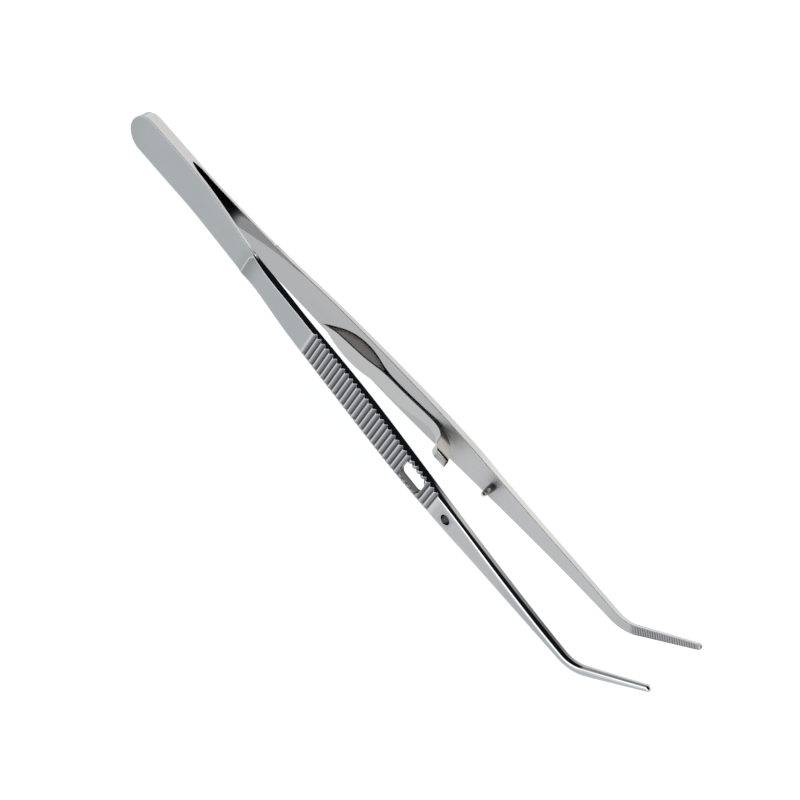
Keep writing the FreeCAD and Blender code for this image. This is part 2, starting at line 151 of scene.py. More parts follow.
# Beyond the elbow these are given along the arm's bent middle line.
GRIP_FACE = Curve(
    (36.0, 3.12), (44.0, 3.98), (55.0, 4.98), (78.0, 6.62), (90.0, 7.62), (100.0, 8.28), (108.0, 8.70),
    (125.0, 9.40), (ELBOW_X, 9.76), (150.0, 9.72), (TIP_END, 9.38),
)
INNER_FACE = Curve(
    (THROAT_END, 0.61), (22.0, 0.80), (27.0, 1.26), (36.9, 2.27), (46.0, 3.10), (55.0, 3.85),
    (78.0, 5.20), (92.0, 6.12), (100.0, 6.55), (108.0, 6.92), (125.0, 7.63),
    (ELBOW_X, 8.17), (147.0, 8.24), (TIP_END, 8.24),
)
HALF_WIDTH = Curve(
    (WELD_END, 4.50), (20.0, 4.34), (27.0, 4.02), (35.0, 3.55), (39.5, 3.40), (50.0, 3.62),
    (62.0, 4.06), (78.0, 4.28), (90.0, 4.00), (98.0, 3.60), (110.0, 2.84), (125.0, 1.99),
    (ELBOW_X, 1.28), (150.0, 1.07), (TIP_END, 0.68),
)
BEVEL_WIDTH = Curve(
    (BEVEL_FROM, 0.20), (41.0, 0.46), (50.0, 0.68), (65.0, 0.80), (80.0, 0.82), (95.0, 0.74),
    (106.0, 0.78), (117.0, 0.86), (128.0, 1.00), (ELBOW_X, 0.96), (150.0, 0.85), (TIP_END, 0.50),
)
LAND_DEPTH = Curve(
    (BEVEL_FROM, 0.20), (41.5, 0.10), (58.0, 0.10), (86.0, 0.10), (93.0, 0.16), (98.0, 0.36),
    (106.0, 0.78), (117.0, 0.76), (128.0, 0.72), (ELBOW_X, 0.55), (150.0, 0.45), (TIP_END, 0.35),
)
LAND_TILT = Curve(
    (TILT_FROM, 0.0), (30.0, 0.0), (37.0, 1.0), (39.5, 10.0), (42.5, 21.0), (60.0, 24.0), (90.0, 24.0),
    (97.0, 16.0), (104.0, 7.0), (117.0, 6.5), (130.0, 8.5), (ELBOW_X, 8.5), (150.0, 3.0), (TIP_END, 0.0),
)
PIN_BEVEL = 0.18
PIN_BEVEL_SHARE = 0.55
PIN_BEVEL_GROWS = (100, 110)
RIDGE_FADE = (0.72, 0.96)
LEAF_SLOPE = 0.104
LEAF_AT = (27.0, 2.01)
FLARE_END = 25.34
HEEL_FACE = 1.31
LEAF_BEND = LEAF_SLOPE / (FLARE_END - WELD_END)
THROAT_DROP = float(INNER_FACE(WELD_END)) - WELD_HALF
RAMP_LENGTH = 2.3
LEAF_EDGE = 0.10
INNER_EDGE = 0.11
WELDED_EDGE = 0.004


def leaf_face(x):
    """The ground outer face behind the shoulder: flat on the heel, then flaring out."""
    flare = HEEL_FACE + LEAF_BEND / 2 * np.clip(x - WELD_END, 0, None) ** 2
    return np.where(x < FLARE_END, flare, LEAF_AT[1] + LEAF_SLOPE * (x - LEAF_AT[0]))


def shoulder_line(w):
    """Where the grinding of the leaf stops. The line runs forward over the upper bevel."""
    return SHOULDER_X + 0.75 * smooth(1.4, 3.4, w)


def grooves(x, first, pitch, count, half, depth):
    """The depth at x of a row of V grooves with a rounded bottom."""
    nearest = np.clip(np.round((x - first) / pitch), 0, count - 1)
    t = np.clip(np.abs(x - first - nearest * pitch) / half, 0, 1)
    return depth * np.where(t < 0.25, 0.875 - 2 * t * t, 1 - t)


def ridges(x):
    return grooves(x, RIDGE_X, RIDGE_PITCH, RIDGE_COUNT, RIDGE_HALF, RIDGE_DEPTH)


def teeth(x):
    depth = TOOTH_DEPTH * smooth(TOOTH_X - 1, TOOTH_X + 2, x)
    return grooves(x, TOOTH_X, TOOTH_PITCH, TOOTH_COUNT, TOOTH_HALF, depth)


def gripped(x):
    """0 on the ground leaf and 1 past the shoulder."""
    return smooth(SHOULDER_X - 0.2, SHOULDER_X + 0.7, x)


def crown(x):
    """The slope of the outer face at its edges, as an angle: the front of the arm is rounded."""
    return math.radians(11) * smooth(98, 120, x) + math.radians(1.0)


def half_width(x):
    return np.where(x < WELD_END, END_RADIUS, HALF_WIDTH(np.maximum(x, WELD_END)))


def bevel_width(x, side):
    full = BEVEL_WIDTH(np.maximum(x, BEVEL_FROM))
    if side == PIN:
        share = PIN_BEVEL_SHARE + (1 - PIN_BEVEL_SHARE) * smooth(ELBOW_X, BEND_END, x)
        full = PIN_BEVEL + (share * full - PIN_BEVEL) * smooth(*PIN_BEVEL_GROWS, x)
    return LEAF_EDGE + (full - LEAF_EDGE) * gripped(x)


def flat_half(x, side):
    return half_width(x) - bevel_width(x, side)


def plain_face(x, w, side):
    """The outer face before its ridges are cut, without its bevels."""
    line = shoulder_line(w)
    t = np.clip((line - x) / RAMP_LENGTH, 0, 1)
    ground = leaf_face(x) + (GRIP_FACE(line) - leaf_face(line)) * (1 - t) ** 3
    flat = flat_half(x, side)
    fall = np.tan(crown(x)) * flat / 2 * np.minimum(np.abs(w) / flat, 1) ** 2
    return np.where(x < line, ground, GRIP_FACE(x)) - fall * smooth(SHOULDER_X, SHOULDER_X + 4, x)


def inner_face(x):
    drop = THROAT_DROP * np.clip((THROAT_END - x) / (THROAT_END - WELD_END), 0, 1) ** 2
    return np.where(x < WELD_END, WELD_HALF, INNER_FACE(np.maximum(x, WELD_END)) - drop) + teeth(x)


def outer_face(x, w, side):
    return plain_face(x, w, side) - ridges(x)


def inner_surface(x, w, side):
    return inner_face(x) + 0 * w


# ---------------------------------------------------------------- one cross-section of an arm

LEAST_GAP = 0.012
FACE_STEPS = 11
BEVEL_STEPS = 12
LAND_STEPS = 2
CORNER_STEPS = 2
INNER_STEPS = 8


def bezier(corners, t):
    """Points and tangents along a cubic."""
    a, b, c, d = corners
    t = t[:, None]
    point = (1 - t) ** 3 * a + 3 * (1 - t) ** 2 * t * b + 3 * (1 - t) * t * t * c + t ** 3 * d
    along = 3 * (1 - t) ** 2 * (b - a) + 6 * (1 - t) * t * (c - b) + 3 * t * t * (d - c)
    return point, along


def heading(angle):
    """The way along a section where its outward normal has turned by angle from Y towards Z."""
    return np.array([math.cos(angle), -math.sin(angle)])


def share_of(count):
    return np.arange(1, count + 1) / count


def bevel_curve(x, side):
    """The cubic from the edge of the outer face round to the side."""
    grown = float(gripped(x))
    crisp = grown * (1 - float(smooth(97, 110, x)))
    inner = float(inner_face(x) - teeth(x))
    flat = float(flat_half(x, side))
    edge = float(plain_face(x, flat, side))
    thick = edge - inner
    tilt = math.radians(max(float(LAND_TILT(max(x, TILT_FROM))), 0.0))
    land = min(float(LAND_DEPTH(max(x, BEVEL_FROM))), thick * 0.7)
    begin = crown(x) + math.radians(4) + math.radians(29) * crisp
    if side == PIN:
        land += (thick - 0.35 - land) * (1 - float(smooth(*PIN_BEVEL_GROWS, x)))
        tilt *= float(smooth(125, ELBOW_X, x))
        begin = math.radians(60 - 42 * float(smooth(*PIN_BEVEL_GROWS, x)))
    land = (thick - LEAF_EDGE) * (1 - grown) + land * grown
    a = np.array([flat, edge])
    d = np.array([float(half_width(x)) - (land - INNER_EDGE) * math.tan(tilt), inner + land])
    span = np.linalg.norm(d - a)
    b = a + heading(begin) * span * (0.50 - 0.11 * crisp)
    c = d - heading(math.pi / 2 - tilt) * span * (0.36 + 0.03 * crisp)
    return np.array([a, b, c, d]), tilt


def half_section(x, side):
    """(w, y) points and tangents from the middle of the outer face round to the middle of the inner face."""
    curve, tilt = bevel_curve(x, side)
    cut = float(ridges(x))
    first = 0.0
    if cut > 0 and side == SLOT:
        fine = np.linspace(0, 0.97, 120)
        level = bezier(curve, fine)[0][:, 1]
        first = float(np.interp(cut, curve[0, 1] - level, fine))
    bevel, bevel_along = bezier(curve, first + (1 - first) * np.concatenate([[0], share_of(BEVEL_STEPS)]))
    flat = float(flat_half(x, side))
    w = bevel[0, 0] * np.concatenate([[0], share_of(FACE_STEPS)])
    if side == PIN:
        cut = cut * (1 - smooth(*RIDGE_FADE, w / flat))
    face = np.column_stack([w, plain_face(x, np.minimum(w, flat), side) - cut])
    slope = np.tan(crown(x)) * np.minimum(w / flat, 1) * float(gripped(x))
    face_along = np.column_stack([np.ones_like(w), -slope])
    inner = float(inner_face(x))
    bare = inner - float(teeth(x))
    half = float(half_width(x))
    edge = INNER_EDGE if x > WELD_END else WELDED_EDGE
    foot = np.array([half, bare + edge])
    down = heading(math.pi / 2 - tilt)
    wall = curve[3] + (foot - curve[3]) * share_of(LAND_STEPS)[:, None]
    corner = np.array([half - edge, bare])
    reach = edge * 0.55
    rounding = np.array([foot, foot + down * reach, corner + [reach, 0], corner])
    rounded, rounded_along = bezier(rounding, share_of(CORNER_STEPS))
    w = (half - edge) * (1 - share_of(INNER_STEPS))
    back = np.column_stack([w, np.full(INNER_STEPS, inner)])
    points = np.vstack([face, bevel, wall, rounded, back])
    wall_along = np.tile(down, (LAND_STEPS, 1))
    back_along = np.tile([-1.0, 0.0], (INNER_STEPS, 1))
    return points, np.vstack([face_along, bevel_along, wall_along, rounded_along, back_along])


def full_section(x, side):
    """The closed section: the half one, and its mirror image below the mid-plane."""
    points, along = half_section(x, side)
    mirrored = points[-2:0:-1] * [-1, 1]
    if abs(x - SHOULDER_X) < RAMP_LENGTH + 1.5:
        outer = np.arange(1, FACE_STEPS + 1)
        mirrored[len(mirrored) - outer, 1] = plain_face(x, -points[outer, 0], side)
    return np.vstack([points, mirrored]), np.vstack([along, along[-2:0:-1] * [1, -1]])


# ---------------------------------------------------------------- mesh helpers

def to_row(points):
    """Own millimetres to the frame's metres."""
    return (np.asarray(points, float) + [SHIFT_X, 0, LIFT_Z]) * MM


def unit(vectors):
    return vectors / np.maximum(np.linalg.norm(vectors, axis=-1, keepdims=True), 1e-12)


def skin_normals(rows, tangents, at):
    """Outward normals of a loft from its sections' tangents and the way that its rows run."""
    return unit(np.cross(tangents, np.gradient(rows, at, axis=0)))


def grid_faces(rows, count, keep=None):
    """The faces of a loft whose every row is a ring of count points."""
    faces = []
    for r in range(rows - 1):
        for c in range(count):
            n = (c + 1) % count
            if keep is None or keep[r, c]:
                faces.append((r * count + c, r * count + n, (r + 1) * count + n, (r + 1) * count + c))
    return faces


def merge_same(points, faces, normals, marks):
    """Join points that lie in one place, and drop the faces that this leaves without area."""
    _, first, index = np.unique(np.round(points, 5), axis=0, return_index=True, return_inverse=True)
    order = np.argsort(first)
    rank = np.empty_like(order)
    rank[order] = np.arange(len(order))
    index = rank[index.ravel()]
    first = first[order]
    kept = []
    for face in faces:
        ring = [index[v] for v in face]
        ring = [v for i, v in enumerate(ring) if v != ring[i - 1]]
        if len(set(ring)) == len(ring) and len(ring) > 2:
            kept.append(ring)
    return points[first], kept, normals[first], {key: values[first] for key, values in marks.items()}


def orient(points, faces, normals):
    """Turn each face to agree with its corners' normals."""
    turned = []
    for face in faces:
        corner = points[face]
        way = np.cross(corner[1] - corner[0], corner[2] - corner[0])
        if len(face) == 4:
            way = way + np.cross(corner[2] - corner[0], corner[3] - corner[0])
        turned.append(face if way @ normals[face].sum(axis=0) >= 0 else face[::-1])
    return turned


def make_piece(name, points, faces, normals, material, nodes, slot, **marks):
    """A mesh object in the frame, smooth by the given normals, in place of the CAD nodes."""
    points, faces, normals, marks = merge_same(points, faces, normals, marks)
    faces = orient(points, faces, normals)
    mesh = bpy.data.meshes.new(name)
    mesh.from_pydata([tuple(p) for p in to_row(points)], [], [tuple(int(v) for v in f) for f in faces])
    mesh.polygons.foreach_set("use_smooth", [True] * len(mesh.polygons))
    for key in ("dull", "worn", "satin"):
        layer = mesh.attributes.new(key, "FLOAT", "POINT")
        layer.data.foreach_set("value", np.asarray(marks.get(key, np.zeros(len(points))), np.float32))
    mesh.normals_split_custom_set_from_vertices([tuple(n) for n in normals])
    mesh.materials.append(material)
    piece = bpy.data.objects.new(name, mesh)
    bpy.context.scene.collection.objects.link(piece)
    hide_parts(*nodes)
    return piece


# ---------------------------------------------------------------- an arm

def stations():
    """Places along the arm that get a section, closer together where its shape changes faster."""
    half_groove = np.array([0.13, 0.25, 0.4, 0.6, 0.8, 0.98, 1.03, 1.1])
    groove = np.concatenate([-half_groove[::-1], [0], half_groove])
    tooth = np.array([-1.1, -0.9, -0.5, -0.2, 0, 0.2, 0.5, 0.9, 1.1])
    last_groove = RIDGE_X + (RIDGE_COUNT - 1) * RIDGE_PITCH
    every = np.concatenate([
        END_CENTRE + np.array([0.0, 3.0, 6.0, 9.0, 11.5]),
        np.arange(WELD_END, THROAT_END, 0.25),
        np.arange(THROAT_END, 36.0, 0.8),
        np.arange(36.2, 41.0, 0.06),
        np.arange(41.3, RIDGE_X - 0.9, 0.8),
        *[RIDGE_X + i * RIDGE_PITCH + groove * RIDGE_HALF for i in range(RIDGE_COUNT)],
        np.arange(last_groove + 1.0, ELBOW_X - 0.5, 1.1),
        np.linspace(ELBOW_X, TOOTH_X - 0.5, 18),
        *[TOOTH_X + i * TOOTH_PITCH + tooth * TOOTH_HALF for i in range(TOOTH_COUNT)],
        [TIP_END - TIP_NOSE],
    ])
    every = np.unique(every[every <= TIP_END - TIP_NOSE])
    return every[np.concatenate([[True], np.diff(every) > LEAST_GAP])]


def place(s, w, y):
    """A section's points at station s: on the straight, round the elbow's bend, or along the tip."""
    angle = min(max(s - ELBOW_X, 0) / BEND_RADIUS, BEND_ANGLE)
    past = max(s - BEND_END, 0)
    x = min(s, ELBOW_X) + (BEND_RADIUS - w) * math.sin(angle) + past * math.cos(angle)
    z = BEND_RADIUS - (BEND_RADIUS - w) * math.cos(angle) + past * math.sin(angle)
    return np.column_stack([x, y, z])


def across(s):
    """The way of +w at station s."""
    angle = min(max(s - ELBOW_X, 0) / BEND_RADIUS, BEND_ANGLE)
    return np.array([-math.sin(angle), 0, math.cos(angle)])


def sideways(along):
    """A section's outward normals, from its tangents."""
    return unit(np.column_stack([-along[:, 1], along[:, 0]]))


def heel_end(side, steps=20):
    """The heel's round end: its section swept about its centre."""
    points, along = full_section(END_CENTRE, side)
    w, y = points.T
    out = sideways(along)
    rows, normals = [], []
    for angle in np.linspace(0, math.pi / 2, steps, endpoint=False):
        back = np.maximum(np.abs(w), END_RADIUS - LEAF_EDGE) * math.cos(angle)
        rows.append(np.column_stack([END_CENTRE - back, y, w * math.sin(angle)]))
        away = -np.abs(out[:, 0]) * math.cos(angle)
        normals.append(np.column_stack([away, out[:, 1], out[:, 0] * math.sin(angle)]))
    return np.array(rows), unit(np.array(normals))


def tip_nose(s, side, steps=8):
    """The tip's round end: its last section drawn in to a point."""
    points, along = full_section(s, side)
    middle = np.array([0.0, (points[:, 1].max() + points[:, 1].min()) / 2])
    out = sideways(along)
    out = out[:, :1] * across(s) + out[:, 1:] * [0, 1, 0]
    ahead = np.array([math.cos(BEND_ANGLE), 0, math.sin(BEND_ANGLE)])
    rows, normals = [], []
    for angle in np.linspace(0, math.pi / 2, steps + 1)[1:]:
        ring = middle + (points - middle) * math.cos(angle)
        rows.append(place(s, *ring.T) + ahead * TIP_NOSE * math.sin(angle))
        normals.append(out * math.cos(angle) + ahead * math.sin(angle))
    return np.array(rows), unit(np.array(normals))


def arm_grid(side):
    """Rows of section points from heel to tip with their normals, and each row's place along the arm."""
    at = stations()
    sections = [full_section(s, side) for s in at]
    rows = np.array([place(s, *points.T) for s, (points, _) in zip(at, sections)])
    tangents = np.array([
        along[:, :1] * across(s) + along[:, 1:] * [0, 1, 0]
        for s, (_, along) in zip(at, sections)
    ])
    heel_rows, heel_normals = heel_end(side)
    nose_rows, nose_normals = tip_nose(at[-1], side)
    grid = np.concatenate([heel_rows, rows, nose_rows])
    normals = np.concatenate([heel_normals, skin_normals(rows, tangents, at), nose_normals])
    places = np.concatenate([np.full(len(heel_rows), -END_RADIUS), at, np.full(len(nose_rows), TIP_END)])
    return grid, normals, places


def face_columns(count):
    """The columns across the outer face and across the inner face, each from -w to +w."""
    outer = [(count - i) % count for i in range(FACE_STEPS, 0, -1)] + list(range(FACE_STEPS + 1))
    middle = count // 2
    inner = [middle + i for i in range(INNER_STEPS, 0, -1)] + [middle - i for i in range(INNER_STEPS + 1)]
    return outer, inner


def outline_point(opening, side, share):
    """A point of a rounded rectangle's edge and the way out of it, by side 0 to 3 and share -1 to 1."""
    middle, long, wide, corner = opening
    straight, reach = (long - corner, wide) if side % 2 == 0 else (wide - corner, long)
    at = share * (straight + math.pi / 4 * corner)
    angle = math.copysign(max(abs(at) - straight, 0) / corner, at) if corner else 0
    out = np.array([math.sin(angle), math.cos(angle)])
    local = np.array([np.clip(at, -straight, straight), reach - corner]) + out * corner
    c, s = [(1, 0), (0, -1), (-1, 0), (0, 1)][side]
    rotate = np.array([[c, -s], [s, c]])
    return rotate @ local + [middle, 0], rotate @ out


def block_edge(row_low, row_high, columns):
    """The grid places round a block, grouped by the opening's side that each faces."""
    rows = list(range(row_low, row_high + 1))
    low, high = columns[0], columns[-1]
    return [
        [(r, high) for r in rows[:-1]],
        [(row_high, c) for c in columns[:0:-1]],
        [(r, low) for r in rows[:0:-1]],
        [(row_low, c) for c in columns[:-1]],
    ]


def face_normals(surface, x, w, side, sign):
    step = 0.004
    dx = (surface(x + step, w, side) - surface(x - step, w, side)) / (2 * step)
    dw = (surface(x, w + step, side) - surface(x, w - step, side)) / (2 * step)
    return unit(np.column_stack([-dx, np.ones_like(dx), -dw])) * sign


def opening_rings(grid, edge, opening, side, outer):
    """Rings of points from a block's edge to the opening, then over its rounded lip, with their normals."""
    surface = outer_face if outer else inner_surface
    sign = 1 if outer else -1
    start, goal, out = [], [], []
    for number, group in enumerate(edge):
        following = edge[(number + 1) % 4][0]
        axis = 0 if number % 2 == 0 else 2
        first = grid[group[0]][axis]
        last = grid[following][axis]
        for spot in group:
            share = 2 * (grid[spot][axis] - first) / (last - first) - 1
            point, way = outline_point(opening, number, share)
            start.append(grid[spot][[0, 2]])
            goal.append(point)
            out.append(way)
    start, goal, out = np.array(start), np.array(goal), np.array(out)
    brink = goal + out * LIP
    rings = []
    for share in share_of(RING_STEPS):
        x, w = (start * (1 - share) + brink * share).T
        rings.append((np.column_stack([x, surface(x, w, side), w]), face_normals(surface, x, w, side, sign)))
    level = rings[-1][0][:, 1]
    upward = rings[-1][1]
    inward = np.column_stack([-out[:, 0], np.zeros(len(out)), -out[:, 1]])
    for angle in math.pi / 2 * share_of(LIP_STEPS):
        x, w = (goal + out * LIP * (1 - math.sin(angle))).T
        y = level - sign * LIP * (1 - math.cos(angle))
        rings.append((np.column_stack([x, y, w]), unit(upward * math.cos(angle) + inward * math.sin(angle))))
    return rings


def bridge(points, one, other):
    """Triangles between two loops round the same opening, whose counts may differ."""
    def turns(loop):
        ring = points[loop] - points[loop].mean(axis=0)
        return np.unwrap(np.arctan2(ring[:, 2], ring[:, 0]))

    start = turns(one)
    if (start[-1] - start[0]) * np.subtract(*turns(other)[[-1, 0]]) < 0:
        other = other[::-1]
    away = np.abs(np.angle(np.exp(1j * (turns(other) - start[0]))))
    nearest = int(np.argmin(away))
    other = other[nearest:] + other[:nearest]
    flat_one, flat_other = points[one][:, [0, 2]], points[other][:, [0, 2]]
    faces = []
    i = j = 0
    while i < len(one) or j < len(other):
        here, there = i % len(one), j % len(other)
        next_here, next_there = (i + 1) % len(one), (j + 1) % len(other)
        by_one = np.linalg.norm(flat_one[next_here] - flat_other[there]) if i < len(one) else np.inf
        by_other = np.linalg.norm(flat_other[next_there] - flat_one[here]) if j < len(other) else np.inf
        if by_one <= by_other:
            faces.append([one[here], one[next_here], other[there]])
            i += 1
        else:
            faces.append([one[here], other[next_there], other[there]])
            j += 1
    return faces


def build_arm(name, side, openings, nodes, material):
    """One whole arm as a single skin, which bends in its leaf."""
    grid, normals, places = arm_grid(side)
    rows, count = grid.shape[:2]
    outer_columns, inner_columns = face_columns(count)
    keep = np.ones((rows, count), bool)
    points, all_normals, faces = [grid.reshape(-1, 3)], [normals.reshape(-1, 3)], []
    # Each point's painted shade, painted light and satin finish.
    dull = [arm_dullness(grid, places, side)]
    worn = [arm_painted_light(grid, side)]
    satin = [arm_satin(grid)]
    total = rows * count
    rims = []
    for front, back, shade in openings:
        middle, long, wide, _ = front
        near = np.where(np.abs(places - middle) < long + OPENING_MARGIN)[0]
        ends = []
        for outer, columns in ((True, outer_columns), (False, inner_columns)):
            across_here = grid[near[0], columns, 2]
            block = [c for c, w in zip(columns, across_here) if abs(w) < wide + OPENING_MARGIN]
            for a, b in zip(block[:-1], block[1:]):
                column = a if (a + 1) % count == b else b
                keep[near[0]:near[-1], column] = False
            edge = block_edge(near[0], near[-1], block)
            previous = [r * count + c for group in edge for r, c in group]
            rings = opening_rings(grid, edge, front if outer else back, side, outer)
            for number, (ring, ring_normals) in enumerate(rings):
                points.append(ring)
                all_normals.append(ring_normals)
                brink = number == RING_STEPS + LIP_STEPS - 1
                # Painted shade in the grooves and, deepest, on the walls; painted highlights on the lips.
                dull.append(np.maximum(groove_shade(ring[:, 0]) * outer, shade * brink))
                worn.append(np.full(len(ring), 0.5 * (number >= RING_STEPS and not brink)))
                satin.append(np.full(len(ring), 1.0 - outer))
                current = list(range(total, total + len(ring)))
                total += len(ring)
                for i in range(len(ring)):
                    j = (i + 1) % len(ring)
                    faces.append((previous[i], previous[j], current[j], current[i]))
                previous = current
            ends.append(previous)
        rims.append(ends)
    points, all_normals = np.concatenate(points), np.concatenate(all_normals)
    faces += grid_faces(rows, count, keep)
    for one, other in rims:
        faces += bridge(points, one, other)
    mirror = np.array([1, side, 1])
    piece = make_piece(
        name, points * mirror, faces, all_normals * mirror, material, nodes, "polished_steel",
        dull=np.concatenate(dull), worn=np.concatenate(worn), satin=np.concatenate(satin),
    )
    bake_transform(piece)
    return piece


def groove_shade(x):
    """How much painted shade a groove gets: least on its rear wall, most on its front wall."""
    number = np.clip(np.round((x - RIDGE_X) / RIDGE_PITCH), 0, RIDGE_COUNT - 1)
    t = (x - RIDGE_X - number * RIDGE_PITCH) / RIDGE_HALF
    return np.where(np.abs(t) < 0.97, np.clip(1.3 + 1.2 * t, 0, 1.35), 0)


def arm_dullness(grid, places, side):
    """Painted shade, with duller steel: in grooves, by the shoulder, at the heel's rim, in the throat and on
    the teeth.
    """
    s = np.repeat(places, grid.shape[1])
    x, y, w = grid.reshape(-1, 3).T
    x = np.minimum(x, ELBOW_X)
    line = shoulder_line(w)
    # Painted shade just before the shoulder's crease, more just after it, and on the heel's rim.
    before = 0.18 * smooth(line - 3.5, line - 0.5, x)
    past = np.where(x > line, 0.55 * (1 - smooth(line, line + 4.5, x)), before)
    rim = 0.16 * (1 - smooth(END_CENTRE - END_RADIUS, END_CENTRE + 1.5, x))
    grooved = groove_shade(x) * ridged_columns_mask(grid, side)
    # Painted deep shade in the throat between the arms, and painted shade on the teeth, darkest in their
    # grooves.
    throat = 1.7 * (1 - smooth(27.5, 30.5, x)) * (x > WELD_END)
    toothed = smooth(TOOTH_X - 1, TOOTH_X, s) * (0.50 + 0.90 * teeth(s) / TOOTH_DEPTH)
    outside = (y > inner_face(x) + 0.25) * np.maximum.reduce([grooved, past, rim])
    return np.maximum(outside, np.maximum(toothed, throat) * inner_columns_mask(grid))


def ridged_columns_mask(grid, side):
    """How deep the ridges cross each column, as a share of their full depth."""
    rows, count = grid.shape[:2]
    share = np.arange(FACE_STEPS + 2) / FACE_STEPS
    ridged = np.zeros(count)
    ridged[:FACE_STEPS + 2] = 1 if side == SLOT else 1 - smooth(*RIDGE_FADE, share)
    ridged[:-FACE_STEPS - 2:-1] = ridged[1:FACE_STEPS + 2]
    return np.tile(ridged, rows)


def inner_columns_mask(grid):
    """1 on the inner face's columns."""
    rows, count = grid.shape[:2]
    inner = np.zeros(count)
    middle = count // 2
    inner[middle - INNER_STEPS:middle + INNER_STEPS + 1] = 1
    return np.tile(inner, rows)


def arm_painted_light(grid, side):
    """Painted highlights and painted light: on the crease, the ridges, the edges and the front, and at places
    inside.
    """
    x, y, w = grid.reshape(-1, 3).T
    count = grid.shape[1]
    # Painted highlights along the crease line, on the ridges' tops and on the bevels' edges.
    crease = 1.2 * bell(x, shoulder_line(w), 0.12)
    ridged = (x > RIDGE_X - 1) & (x < RIDGE_X + RIDGE_COUNT * RIDGE_PITCH)
    top = 0.9 * (ridged & (ridges(x) < 0.02)) * ridged_columns_mask(grid, side)
    edges = np.zeros(count)
    edges[[FACE_STEPS, FACE_STEPS + 1, count - FACE_STEPS - 1, count - FACE_STEPS]] = 0.6
    worn = np.maximum(crease, top) * (y > inner_face(np.minimum(x, ELBOW_X)) + 0.25)
    inner = inner_columns_mask(grid)
    # Painted light on the slotted arm's inner face behind the shoulder, and by the catch and the pin on the
    # pinned arm's.
    inside = smooth(27, 31, x) * (1 - smooth(42, 46, x)) * inner * (side == SLOT)
    painted_bright_spot = 0.55 * bell(x, CATCH_X, 3) + 0.35 * bell(x, PIN_X, 2.5)
    inside = np.maximum(inside, painted_bright_spot * inner * (side == PIN))
    # Painted light towards the front of the arm, inside and outside.
    front_inside = smooth(88, 100, x) * (1 - smooth(ELBOW_X - 4, ELBOW_X + 3, x))
    front_outside = smooth(98, 106, x) * (1 - smooth(120, 130, x))
    front = 0.3 * np.where(inner, front_inside, front_outside)
    return np.maximum.reduce([worn, np.tile(edges, len(grid)), inside, front])


def arm_satin(grid):
    """0 outside; on the inner face more brushed towards the front, and most by the pin and the catch."""
    x = grid.reshape(-1, 3)[:, 0]
    brushed = 0.2 + 0.8 * smooth(74, 92, x) + bell(x, PIN_X, 2.5) + bell(x, CATCH_X, 4.5)
    return inner_columns_mask(grid) * brushed


# ---------------------------------------------------------------- the weld, the guide pin and the lock spring

def build_weld(material):
    """The thin seam between the two heels, ground flush with them."""
    turns = np.linspace(math.pi / 2, -math.pi / 2, 41)
    rim = [(END_CENTRE - END_RADIUS * math.cos(a), END_RADIUS * math.sin(a)) for a in turns]
    rim = [(WELD_END, END_RADIUS), *rim, (WELD_END, -END_RADIUS)]
    x, w = np.array(rim).T
    out = np.column_stack([np.minimum(x - END_CENTRE, 0), np.zeros(len(x)), w])
    levels = (-WELD_HALF, WELD_HALF)
    points = np.concatenate([np.column_stack([x, np.full(len(x), y), w]) for y in levels])
    count = len(x)
    faces = [(i, i + 1, count + i + 1, count + i) for i in range(count - 1)]
    normals = np.concatenate([unit(out), unit(out)])
    front = np.array([points[0], points[count - 1], points[-1], points[count]])
    faces.append(tuple(range(2 * count, 2 * count + 4)))
    points = np.concatenate([points, front + [0.001, 0, 0]])
    normals = np.concatenate([normals, np.tile([1.0, 0, 0], (4, 1))])
    piece = make_piece("weld_seam", points, faces, normals, material, ["end_weld"], "weld_steel")
    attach(piece, "heel")


def build_pin(material):
    """The guide pin: turned, tapering to a blunt round nose."""
    profile = Curve((0.0, 0.86), (1.2, 0.84), (2.2, 0.74), (2.9, 0.60))
    foot = np.array([PIN_X, float(inner_face(PIN_X)), 0.0])
    lean = float(INNER_FACE(PIN_X + 1) - INNER_FACE(PIN_X))
    axis = unit(np.array([lean, -1.0, 0.0]))
    across_axis = np.array([-axis[1], axis[0], 0.0])
    nose_from = 3.1
    nose = PIN_STAND - nose_from
    heights = [(h, float(profile(h))) for h in np.linspace(-0.6, nose_from, 22)]
    blunt = float(profile(nose_from))
    heights += [
        (nose_from + nose * math.sin(a), blunt * math.cos(a) ** 0.8)
        for a in np.linspace(0, math.pi / 2, 9)[1:]
    ]
    turns = np.linspace(0, 2 * math.pi, 40, endpoint=False)
    round_about = np.cos(turns)[:, None] * across_axis + np.sin(turns)[:, None] * [0, 0, 1]
    rows = np.array([foot + axis * h + round_about * max(r, 0.0) for h, r in heights])
    h, r = np.array(heights).T
    slope = np.gradient(r, h)
    slope[-1] = -50.0  # all but square to the axis
    normals = unit(round_about[None] - slope[:, None, None] * axis)
    faces = grid_faces(len(rows), len(turns)) + [tuple(range(len(turns)))]
    # Painted shade at the pin's foot, where it stands in the arm, and a painted highlight on its nose.
    painted_base_shade = np.repeat(0.9 * (1 - smooth(0.8, 2.4, h)), len(turns))
    painted_bright_spot = np.repeat(smooth(2.6, 3.2, h), len(turns))
    piece = make_piece(
        "guide_pin_turned", rows.reshape(-1, 3), faces, normals.reshape(-1, 3), material, ["guide_pin"],
        "pin_steel", dull=painted_base_shade, worn=painted_bright_spot,
    )
    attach(piece, "pin_blade")


# The strip's places are along the arm from here, and its heights off the arm's inner face.
STRIP_X = 55.0
STRIP_THICK = 0.42
STRIP_LEAN = 0.0566
CATCH_FROM = 33.6
